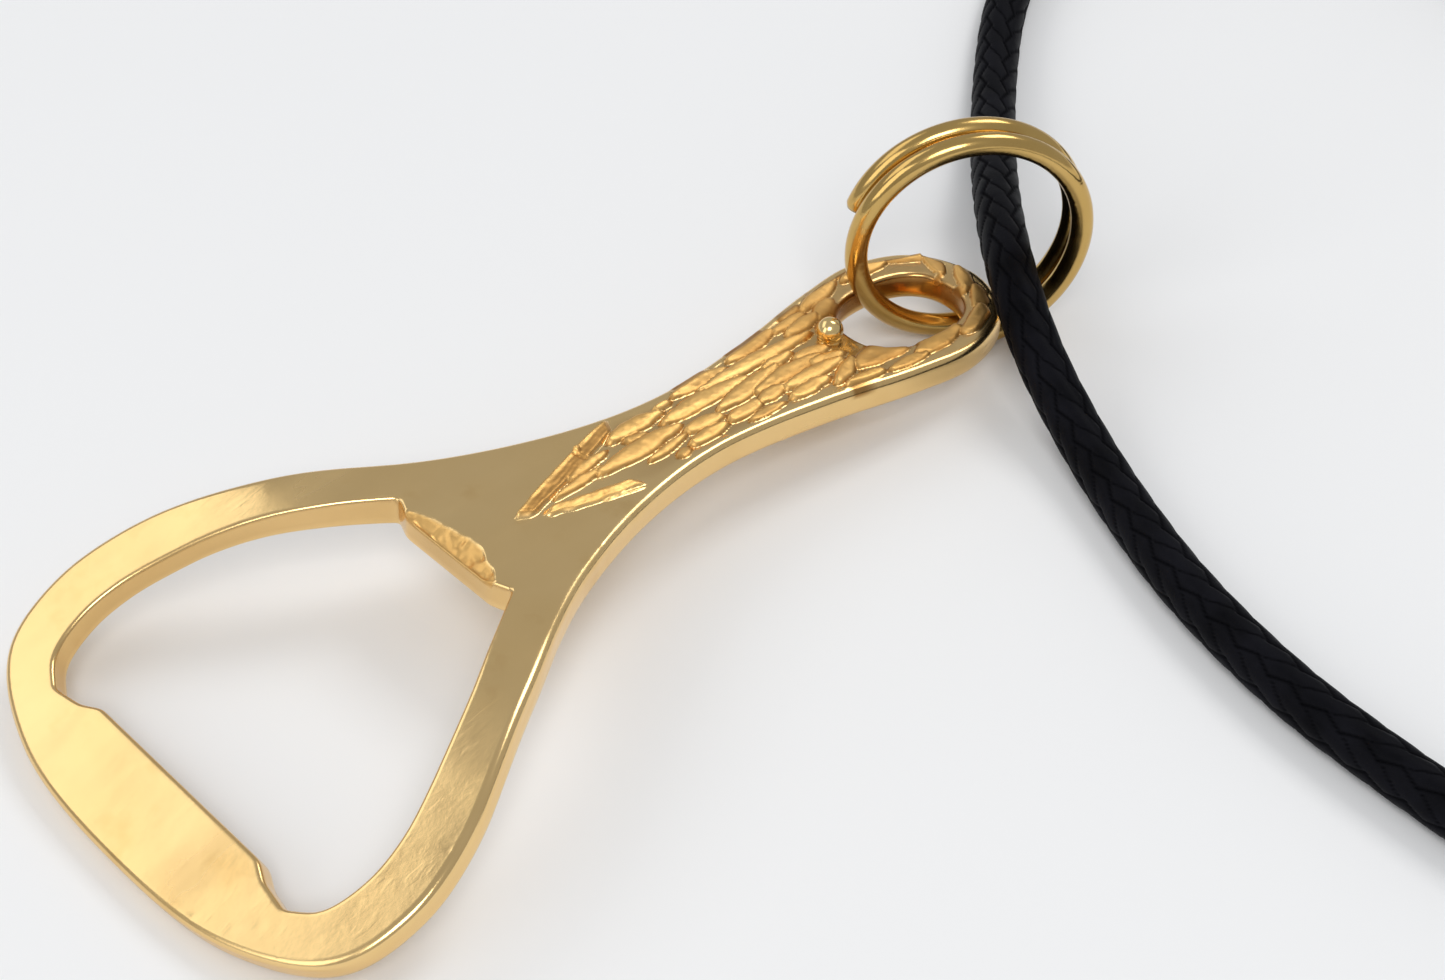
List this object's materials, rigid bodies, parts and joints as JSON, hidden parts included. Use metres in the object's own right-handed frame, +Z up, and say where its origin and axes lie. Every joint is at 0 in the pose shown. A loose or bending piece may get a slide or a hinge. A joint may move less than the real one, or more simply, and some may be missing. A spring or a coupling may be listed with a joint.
{
  "type": "keychain bottle opener",
  "caption": "Cast metal bottle opener, bent across its width, with a split ring through the slot in its handle and a knotted braided cord loop.",
  "frame": {"origin": "centre of the opener and split ring's footprint, on the surface they lie on", "axes": "+X from the mouth towards the ring, +Y across the opener, +Z up"},
  "size_m": [0.1654, 0.1189, 0.02],
  "materials": {
    "cast_brass": "polished casting, worn",
    "bead_brass": "polished",
    "ring_brass": "drawn wire, polished",
    "cord_braid": "black waxed braid"
  },
  "bodies": {
    "opener_body": {"opener": "cast_brass", "bead": "bead_brass"},
    "ring_body": {"split_ring": "ring_brass", "cord": "cord_braid", "knot": "cord_braid"}
  },
  "joints": [
    {"name": "ring_swing", "type": "hinge", "parent": "opener_body", "child": "ring_body", "pos_m": [0.03666, -0.00102, 0.00405], "axis": [0.4772, 0.8788, 0], "range_deg": [-5, 95]}
  ]
}
